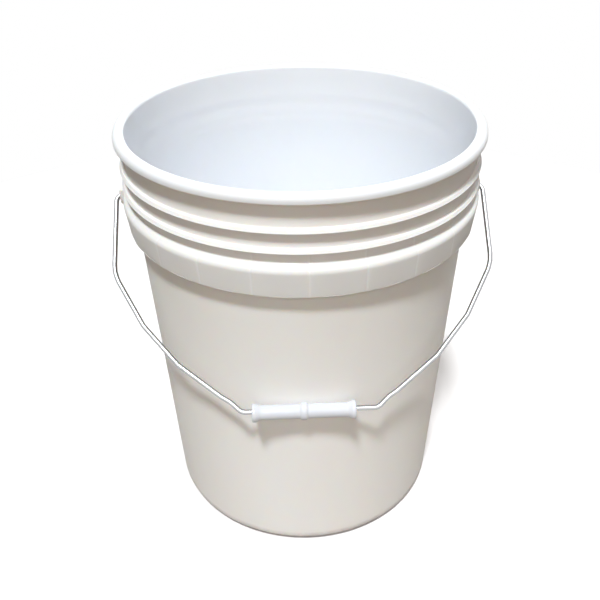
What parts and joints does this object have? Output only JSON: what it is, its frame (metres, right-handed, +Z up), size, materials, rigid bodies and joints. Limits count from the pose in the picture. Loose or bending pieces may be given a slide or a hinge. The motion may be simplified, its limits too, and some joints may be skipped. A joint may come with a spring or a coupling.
{
  "type": "bucket",
  "caption": "Tapered round plastic bucket with a lid-locking rim, stiffening ribs, a hollow skirt and a swinging wire bail with a tube grip.",
  "frame": {"origin": "on the pail's axis, in the plane of its foot", "axes": "+Z up along the pail's axis; X along the bail's hinge line; the bail rests on the wall at the front, -Y"},
  "size_m": [0.3212, 0.303, 0.37],
  "materials": {
    "pail_plastic": "moulded off-white polyethylene, glossy outside and a little softer inside",
    "bail_wire": "bright zinc-plated round wire",
    "grip_plastic": "smooth white moulded plastic"
  },
  "bodies": {
    "pail": {"pail": "pail_plastic"},
    "bail": {"bail": "bail_wire"},
    "grip": {"grip": "grip_plastic"}
  },
  "joints": [
    {"name": "bail_swing", "type": "hinge", "parent": "pail", "child": "bail", "pos_m": [0, 0, 0.3041], "axis": [-1, 0, 0], "range_deg": [0, 261.4]},
    {"name": "grip_spin", "type": "hinge", "parent": "bail", "child": "grip", "pos_m": [-0.005, -0.14441, 0.17876], "axis": [1, 0, 0], "continuous": true}
  ]
}
